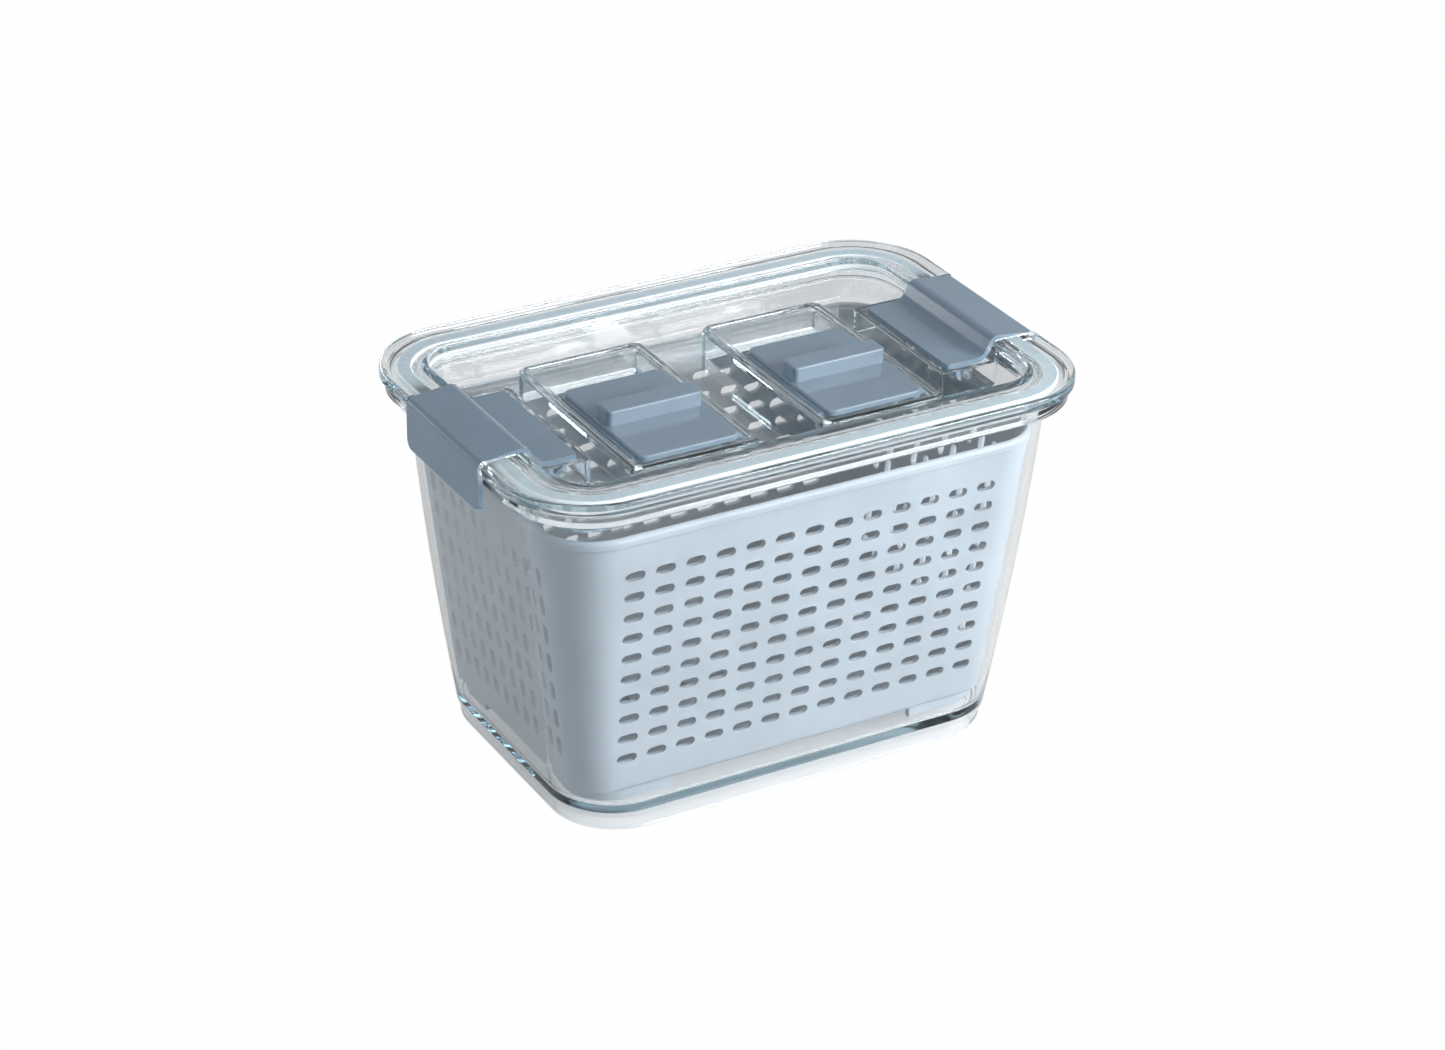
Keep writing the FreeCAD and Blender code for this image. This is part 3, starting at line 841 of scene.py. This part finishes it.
def frame_blocks(half_x, low_y, high_y, low_z, high_z):
    bm = bmesh.new()
    low = (frame_centre_x - half_x, low_y, low_z)
    high = (frame_centre_x + half_x, high_y, high_z)
    block(bm, low, high)
    both_sides(bm)
    return bm


def pockets(half_y, face_x, end_x, low_z, high_z, corner, edge):
    bm = bmesh.new()
    block(bm, (face_x, -half_y, low_z), (end_x, half_y, high_z))
    upright = [
        e for e in bm.edges
        if abs(e.verts[0].co.z - e.verts[1].co.z) > mm and e.verts[0].co.x < face_x + 0.1 * mm
    ]
    soft_edges(bm, upright, corner, 5)
    if edge:
        top = [
            e for e in bm.edges
            if min(v.co.z for v in e.verts) > high_z - same_place
            and min(v.co.x for v in e.verts) < end_x - mm
        ]
        soft_edges(bm, top, edge, 2)
    both_sides(bm)
    return bm


def bays():
    """What the lid's flange leaves free for the latches."""
    bm = bmesh.new()
    plate, crease, edge = line_below(latch_line(), latch_sheet + latch_gap)
    lip_x = edge.x - 2 * latch_gap
    inner_x = latch_ramp_x - bay_reach
    out_x = latch_outer_x + latch_gap
    under_z = lid_under - latch_gap
    high_z = latch_crease_z + latch_sheet
    corners = [
        (inner_x, plate.y), tuple(plate), tuple(crease), (lip_x, edge.y),
        (lip_x, under_z), (out_x, under_z), (out_x, high_z), (inner_x, high_z),
    ]
    half_y = latch_half_y + latch_gap
    drawn_out(bm, [(x, z, 0) for x, z in corners], -half_y, half_y)
    both_sides(bm)
    return bm


def hinge_bars():
    bm = bmesh.new()
    rod(bm, bar_x, bar_z, -pocket_half_y - 0.5 * mm, pocket_half_y + 0.5 * mm, bar_radius)
    both_sides(bm)
    return bm


def hinge_lugs():
    bm = bmesh.new()
    for y in (-lug_y, lug_y):
        block(
            bm,
            (bar_x - bar_radius * 0.98, y - lug_width / 2, panel_under + 0.5 * mm),
            (bar_x + bar_radius * 0.98, y + lug_width / 2, bar_z),
        )
    both_sides(bm)
    return bm


def make_lid():
    pocket_end = recess_outline.half_x
    bm = carved(lid_shell(), [
        ("UNION", frames()),
        ("DIFFERENCE", wells()),
        ("DIFFERENCE", frame_blocks(
            vent_half_x, deck_back_y, well_back_y, panel_under - mm, frame_top - mm)),
        ("DIFFERENCE", frame_blocks(
            vent_half_x, well_front_y, deck_back_y + 0.1 * mm, panel_under - mm, deck_under)),
        ("DIFFERENCE", frame_blocks(
            vent_half_x + groove_depth, well_front_y, well_back_y, deck_top - 0.01 * mm,
            deck_top + groove_height)),
        ("UNION", pockets(
            pocket_half_y + pocket_wall, pocket_face_x - pocket_wall, pocket_end + mm,
            panel_top - mm, pocket_top, pocket_outer_corner, pocket_edge)),
        ("DIFFERENCE", pockets(
            pocket_half_y, pocket_face_x, pocket_end, panel_top, pocket_top + 4 * mm,
            pocket_corner, 0)),
        ("DIFFERENCE", bays()),
        ("UNION", hinge_bars()),
        ("UNION", hinge_lugs()),
    ])
    return weighted(finished(bm, "vented_lid", "box", "lid", lid_clear))


def make_latch(name, body, side):
    line = latch_line()
    plate, crease, edge = line_below(line, latch_sheet)
    hem_x = line[-1][0] - latch_sheet
    inner_x = hem_x + latch_draft * bead_rise
    corners = [
        (*line[0], 0),
        (*line[1], 4.0 * mm),
        (*line[2], 3.0 * mm),
        (*line[3], 2.4 * mm),
        (*line[4], 0),
        (hem_x, latch_bottom_z, 0),
        (inner_x, bead_z - bead_height / 2, 0),
        (inner_x - bead_reach, bead_z, 0.4 * mm),
        (inner_x, bead_z + bead_height / 2, 0),
        (*edge, 0.6 * mm),
        (*crease, 1.2 * mm),
        (*plate, 5.8 * mm),
        (latch_inner_x, plate.y, 0),
    ]
    bm = bmesh.new()
    drawn_out(bm, corners, -latch_half_y, latch_half_y)
    bmesh.ops.recalc_face_normals(bm, faces=bm.faces)
    plate_ends = []
    hem_ends = []
    for e in bm.edges:
        a, b = (v.co for v in e.verts)
        if abs(a.y - b.y) > same_place or abs(abs(a.y) - latch_half_y) > same_place:
            continue
        if max(a.x, b.x) < latch_inner_x + same_place:
            plate_ends.append(e)
        elif max(a.z, b.z) < latch_bottom_z + same_place:
            hem_ends.append(e)
    soft_edges(bm, plate_ends, latch_plate_corner, 4)
    soft_edges(bm, [e for e in hem_ends if e.is_valid], latch_hem_corner, 5)
    clips = bmesh.new()
    necks = bmesh.new()
    near = lug_y + lug_width / 2 + lug_gap
    far = latch_half_y - lug_gap
    clip_radius = bar_radius + bar_fit + clip_wall
    for low_y, high_y in ((-far, -near), (near, far)):
        rod(clips, bar_x, bar_z, low_y, high_y, clip_radius)
        block(
            necks, (bar_x - clip_radius * 0.99, low_y, bar_z),
            (bar_x + clip_radius * 0.99, high_y, latch_plate_z - latch_sheet / 2),
        )
    bore = bmesh.new()
    rod(bore, bar_x, bar_z, -latch_half_y, latch_half_y, bar_radius + bar_fit, 32)
    mouth = bmesh.new()
    block(
        mouth, (bar_x - clip_mouth / 2, -latch_half_y, bar_z - clip_radius - 2 * mm),
        (bar_x + clip_mouth / 2, latch_half_y, bar_z),
    )
    bm = carved(bm, [
        ("UNION", clips), ("UNION", necks), ("DIFFERENCE", bore), ("DIFFERENCE", mouth),
    ])
    if side < 0:
        bmesh.ops.scale(bm, vec=(-1, 1, 1), verts=bm.verts)
    piece = finished(bm, name, body, body, latch_plastic, sharp_angle)
    return weighted(soft(piece, latch_edge))


def make_slider(name, body, side):
    centre_x = side * frame_centre_x
    half_x = vent_half_x - slider_gap
    middle_y = (slider_front_y + slider_back_y) / 2
    high = slider_low + slider_thickness
    bm = bmesh.new()
    half_y = (slider_back_y - slider_front_y) / 2
    plate = Outline(half_x - slider_side_step, half_y, slider_corner)
    section = [
        (plate.grown(-mm), slider_low, 0),
        (plate, slider_low, 0.3 * mm),
        (plate, high, 0.6 * mm),
        (plate.grown(-1.5 * mm), high, 0),
    ]
    stack(bm, as_levels(section))
    bmesh.ops.translate(bm, vec=(centre_x, middle_y, 0), verts=bm.verts)
    grip = bmesh.new()
    shape = Outline(grip_half_x, grip_depth / 2, grip_corner)
    section = [
        (shape, slider_low + mm, 0),
        (shape, high + grip_height, grip_edge),
        (shape.grown(-2 * grip_edge), high + grip_height, 0),
    ]
    stack(grip, as_levels(section))
    grip_place = (centre_x, grip_front_y + grip_depth / 2, 0)
    bmesh.ops.translate(grip, vec=grip_place, verts=grip.verts)
    runners = bmesh.new()
    tongues = bmesh.new()
    for way in (-1, 1):
        inner_x = centre_x + way * (half_x - tongue_width)
        outer_x = centre_x + way * half_x
        tip_x = centre_x + way * (half_x + tongue_reach)
        low_y = slider_front_y + slider_corner
        high_y = slider_back_y - slider_corner
        block(
            runners, (min(inner_x, outer_x), low_y, tongue_low + tongue_height / 2),
            (max(inner_x, outer_x), high_y, slider_low + slider_thickness / 2),
        )
        block(
            tongues, (min(inner_x, tip_x), low_y, tongue_low),
            (max(inner_x, tip_x), high_y, tongue_low + tongue_height),
        )
    bm = carved(bm, [("UNION", grip), ("UNION", runners), ("UNION", tongues)])
    return weighted(finished(bm, name, body, body, slider_plastic, sharp_angle))


make_container()
make_seal()
make_basket()
make_lid()
make_latch("latch_flap_left", "latch_left", -1)
make_latch("latch_flap_right", "latch_right", 1)
make_slider("vent_cover_left", "slider_left", -1)
make_slider("vent_cover_right", "slider_right", 1)

# Light runs along inside the clear walls and comes out at their edges
bpy.context.scene.cycles.max_bounces = 40
bpy.context.scene.cycles.transmission_bounces = 40
bpy.context.scene.cycles.glossy_bounces = 24

# The camera, fitted to the photograph's view
frame_width = 1445
focal_pixels = 3795.69
camera_place = Vector((-559.74, -953.45, 666.89)) * mm
turn, tilt, roll = 0.53037, 0.49459, 0.022943

camera = bpy.data.objects.new("camera", bpy.data.cameras.new("camera"))
bpy.context.scene.collection.objects.link(camera)
bpy.context.scene.camera = camera
camera.data.sensor_width = 36
camera.data.lens = 36 * focal_pixels / frame_width
ahead = Vector((
    math.sin(turn) * math.cos(tilt), math.cos(turn) * math.cos(tilt), -math.sin(tilt)
))
right = ahead.cross(Vector((0, 0, 1))).normalized()
up = right.cross(ahead)
camera_x = right * math.cos(roll) + up * math.sin(roll)
camera_y = up * math.cos(roll) - right * math.sin(roll)
facing = Matrix((camera_x, camera_y, -ahead)).transposed().to_4x4()
camera.matrix_world = Matrix.Translation(camera_place) @ facing
camera.data.clip_start = 0.01
camera.data.clip_end = 20

# How much of the white background the floor and the sky keep in reflections and through the
# clear walls, and how much light they give to all else
floor_shade = 0.8
floor_white = 0.99
floor_mirrored = 0.15
floor_through_walls = 0.3
sky_light = 0.26
sky_mirrored = 0.25
sky_through_walls = 0.85
lamp_aim = Vector((0, 0, 0.07))


def math_node(tree, kind, first, second):
    """A math node of two inputs, each a socket or a number."""
    node = tree.nodes.new("ShaderNodeMath")
    node.operation = kind
    for socket, value in zip(node.inputs, (first, second)):
        if isinstance(value, (int, float)):
            socket.default_value = value
        else:
            tree.links.new(value, socket)
    return node.outputs[0]


def seen_directly(tree, mirrored, through_walls):
    """1 where the camera sees the background itself, and less in reflections and through
    the clear walls."""
    path = tree.nodes.new("ShaderNodeLightPath").outputs
    bent = math_node(tree, "MULTIPLY", path["Is Transmission Ray"], through_walls)
    shine = math_node(tree, "MULTIPLY", path["Is Glossy Ray"], mirrored)
    bent = math_node(tree, "MAXIMUM", shine, bent)
    seen = math_node(tree, "MAXIMUM", path["Is Camera Ray"], bent)
    first = math_node(tree, "LESS_THAN", path["Diffuse Depth"], 0.5)
    return math_node(tree, "MULTIPLY", seen, first)


white = bpy.data.materials.new("white floor")
white.use_nodes = True
tree = white.node_tree
shader = tree.nodes["Principled BSDF"]
shader.inputs["Base Color"].default_value = (floor_shade, floor_shade, floor_shade, 1)
shader.inputs["Roughness"].default_value = 0.9
glow = tree.nodes.new("ShaderNodeEmission")
glow.inputs["Color"].default_value = (1, 1, 1, 1)
glow.inputs["Strength"].default_value = 1
mix = tree.nodes.new("ShaderNodeMixShader")
seen = seen_directly(tree, floor_mirrored, floor_through_walls)
tree.links.new(math_node(tree, "MULTIPLY", seen, floor_white), mix.inputs["Fac"])
tree.links.new(shader.outputs[0], mix.inputs[1])
tree.links.new(glow.outputs[0], mix.inputs[2])
tree.links.new(mix.outputs[0], tree.nodes["Material Output"].inputs["Surface"])
bm = bmesh.new()
bmesh.ops.create_grid(bm, x_segments=1, y_segments=1, size=4.0)
mesh = bpy.data.meshes.new("floor")
bm.to_mesh(mesh)
bm.free()
floor = bpy.data.objects.new("floor", mesh)
mesh.transform(Matrix.Translation((0, 0, -0.3 * mm)))
mesh.materials.append(white)
bpy.context.scene.collection.objects.link(floor)

world = bpy.data.worlds.new("studio")
bpy.context.scene.world = world
world.use_nodes = True
sky = world.node_tree
back = sky.nodes["Background"]
back.inputs["Color"].default_value = (1, 1, 1, 1)
back.inputs["Strength"].default_value = sky_light
bright = sky.nodes.new("ShaderNodeBackground")
bright.inputs["Color"].default_value = (1, 1, 1, 1)
bright.inputs["Strength"].default_value = 1
mix = sky.nodes.new("ShaderNodeMixShader")
sky.links.new(seen_directly(sky, sky_mirrored, sky_through_walls), mix.inputs["Fac"])
sky.links.new(back.outputs[0], mix.inputs[1])
sky.links.new(bright.outputs[0], mix.inputs[2])
sky.links.new(mix.outputs[0], sky.nodes["World Output"].inputs["Surface"])


def soft_lamp(name, place, size, power, colour=(1, 1, 1)):
    """A rectangular lamp that faces the box and isn't seen itself."""
    lamp = bpy.data.lights.new(name, "AREA")
    lamp.shape = "RECTANGLE"
    lamp.size, lamp.size_y = size
    lamp.energy = power
    lamp.color = colour
    holder = bpy.data.objects.new(name, lamp)
    holder.location = place
    aim = lamp_aim - Vector(place)
    holder.rotation_euler = aim.to_track_quat("-Z", "Y").to_euler()
    holder.visible_camera = False
    bpy.context.scene.collection.objects.link(holder)
    return holder


soft_lamp("front right", (0.62, -0.80, 0.5), (0.55, 0.5), 12.3)
soft_lamp("left", (-1.1, -0.3, 0.45), (0.6, 0.8), 1.9, (0.72, 0.86, 1))
soft_lamp("overhead", (0.15, 0.2, 1.1), (1.2, 0.8), 1.5)
behind = soft_lamp("behind", (-0.3, 1.1, 0.25), (0.9, 0.4), 5.0)
behind.visible_transmission = False
bpy.context.scene.view_settings.view_transform = "Standard"
